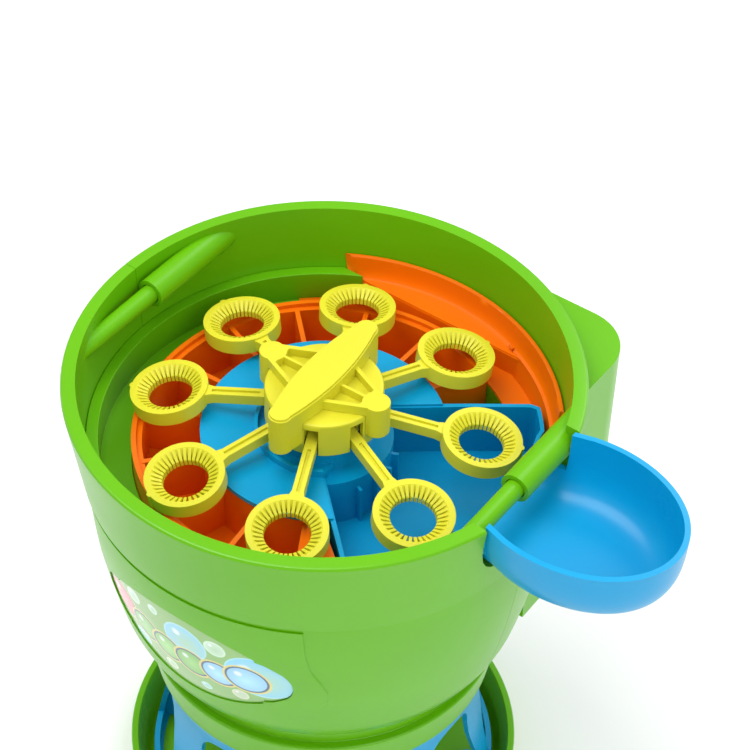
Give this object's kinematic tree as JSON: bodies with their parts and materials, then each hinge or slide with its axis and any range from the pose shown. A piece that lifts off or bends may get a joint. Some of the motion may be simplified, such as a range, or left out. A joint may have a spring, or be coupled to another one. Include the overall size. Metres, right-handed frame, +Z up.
{
  "type": "bubble machine",
  "caption": "Battery bubble machine: round body on a flared pedestal and drip dish, with a filling scoop and a turning wheel of bubble wands above a ring-shaped air outlet.",
  "frame": {"origin": "centre of the underside of the base dish, on the wheel's axis", "axes": "+Z up along the wheel's shaft; the label faces -Y and the filling scoop points along +X; the battery housing is on the +Y side"},
  "size_m": [0.2553, 0.2028, 0.242],
  "materials": {
    "green_plastic": "gloss",
    "blue_plastic": "gloss",
    "orange_plastic": "gloss",
    "yellow_plastic": "satin",
    "printed_label": "gloss",
    "steel": "brushed",
    "motor_steel": "satin",
    "brass": "satin",
    "grey_plastic": "matt",
    "black_plastic": "matt",
    "cell_wrap": "gloss",
    "red_plastic": "matt",
    "rubber": "matt"
  },
  "bodies": {
    "body": {"front_shell": "green_plastic", "rear_shell": "green_plastic", "label_panel": "printed_label", "shell_screws": "steel", "splash_pan": "green_plastic", "air_duct_ring": "orange_plastic", "rear_deck": "orange_plastic", "solution_tray": "blue_plastic", "filling_scoop": "blue_plastic", "shaft_bush": "brass", "gearbox_housing": "grey_plastic", "gearbox_cover": "grey_plastic", "gear_pins": "steel", "drive_motor": "motor_steel", "fan_housing": "black_plastic", "fan_cover": "black_plastic", "fan_motor": "motor_steel", "battery_box": "black_plastic", "batteries": "cell_wrap", "contact_springs": "steel", "switch_plate": "black_plastic", "wires": "red_plastic", "neck_collar": "green_plastic", "pedestal": "blue_plastic", "base_dish": "green_plastic", "foot_pads": "rubber", "base_screws": "steel"},
    "wheel": {"wand_hub": "yellow_plastic", "hub_cap": "yellow_plastic", "drive_shaft": "steel", "output_gear": "grey_plastic"},
    "wand_1": {"wand_1": "yellow_plastic"},
    "wand_2": {"wand_2": "yellow_plastic"},
    "wand_3": {"wand_3": "yellow_plastic"},
    "wand_4": {"wand_4": "yellow_plastic"},
    "wand_5": {"wand_5": "yellow_plastic"},
    "wand_6": {"wand_6": "yellow_plastic"},
    "wand_7": {"wand_7": "yellow_plastic"},
    "wand_8": {"wand_8": "yellow_plastic"},
    "second_gear": {"second_gear": "grey_plastic"},
    "first_gear": {"first_gear": "grey_plastic"},
    "motor_rotor": {"motor_pinion": "brass"},
    "fan_rotor": {"fan_impeller": "grey_plastic"},
    "switch": {"power_switch": "red_plastic"},
    "door": {"battery_door": "green_plastic"},
    "door_screw": {"door_screw": "steel"}
  },
  "joints": [
    {"name": "wheel_spin", "type": "hinge", "parent": "body", "child": "wheel", "pos_m": [0, 0, 0.2], "axis": [0, 0, 1], "continuous": true},
    {"name": "wand_1_tilt", "type": "hinge", "parent": "wheel", "child": "wand_1", "pos_m": [0.01456, 0.00664, 0.2228], "axis": [-0.4147, 0.91, 0], "range_deg": [-10, 0]},
    {"name": "wand_2_tilt", "type": "hinge", "parent": "wheel", "child": "wand_2", "pos_m": [0.0056, 0.01499, 0.2228], "axis": [-0.9367, 0.3502, 0], "range_deg": [-10, 0]},
    {"name": "wand_3_tilt", "type": "hinge", "parent": "wheel", "child": "wand_3", "pos_m": [-0.00664, 0.01456, 0.2228], "axis": [-0.91, -0.4147, 0], "range_deg": [-10, 0]},
    {"name": "wand_4_tilt", "type": "hinge", "parent": "wheel", "child": "wand_4", "pos_m": [-0.01499, 0.0056, 0.2228], "axis": [-0.3502, -0.9367, 0], "range_deg": [-10, 0]},
    {"name": "wand_5_tilt", "type": "hinge", "parent": "wheel", "child": "wand_5", "pos_m": [-0.01456, -0.00664, 0.2228], "axis": [0.4147, -0.91, 0], "range_deg": [-10, 0]},
    {"name": "wand_6_tilt", "type": "hinge", "parent": "wheel", "child": "wand_6", "pos_m": [-0.0056, -0.01499, 0.2228], "axis": [0.9367, -0.3502, 0], "range_deg": [-10, 0]},
    {"name": "wand_7_tilt", "type": "hinge", "parent": "wheel", "child": "wand_7", "pos_m": [0.00664, -0.01456, 0.2228], "axis": [0.91, 0.4147, 0], "range_deg": [-10, 0]},
    {"name": "wand_8_tilt", "type": "hinge", "parent": "wheel", "child": "wand_8", "pos_m": [0.01499, -0.0056, 0.2228], "axis": [0.3502, 0.9367, 0], "range_deg": [-10, 0]},
    {"name": "second_gear_spin", "type": "hinge", "parent": "body", "child": "second_gear", "pos_m": [0.01691, 0.00616, 0.167], "axis": [0, 0, 1], "continuous": true},
    {"name": "first_gear_spin", "type": "hinge", "parent": "body", "child": "first_gear", "pos_m": [0.02501, -0.00787, 0.162], "axis": [0, 0, 1], "continuous": true},
    {"name": "motor_spin", "type": "hinge", "parent": "body", "child": "motor_rotor", "pos_m": [0.04024, -0.00233, 0.157], "axis": [0, 0, 1], "continuous": true},
    {"name": "fan_spin", "type": "hinge", "parent": "body", "child": "fan_rotor", "pos_m": [-0.05, 0, 0.162], "axis": [0, 0, 1], "continuous": true},
    {"name": "switch_slide", "type": "slide", "parent": "body", "child": "switch", "axis": [0, 0, 1], "range_m": [0, 0.004]},
    {"name": "door_slide", "type": "slide", "parent": "body", "child": "door", "axis": [0, 1, 0], "range_m": [0, 0.04]},
    {"name": "door_screw_turn", "type": "hinge", "parent": "door", "child": "door_screw", "pos_m": [0.0125, 0.1, 0.166], "axis": [0, 1, 0], "range_deg": [-360, 0]}
  ],
  "couplings": [
    {"joint": "second_gear_spin", "follows": "wheel_spin", "ratio": -4},
    {"joint": "first_gear_spin", "follows": "wheel_spin", "ratio": 14},
    {"joint": "motor_spin", "follows": "wheel_spin", "ratio": -49}
  ]
}
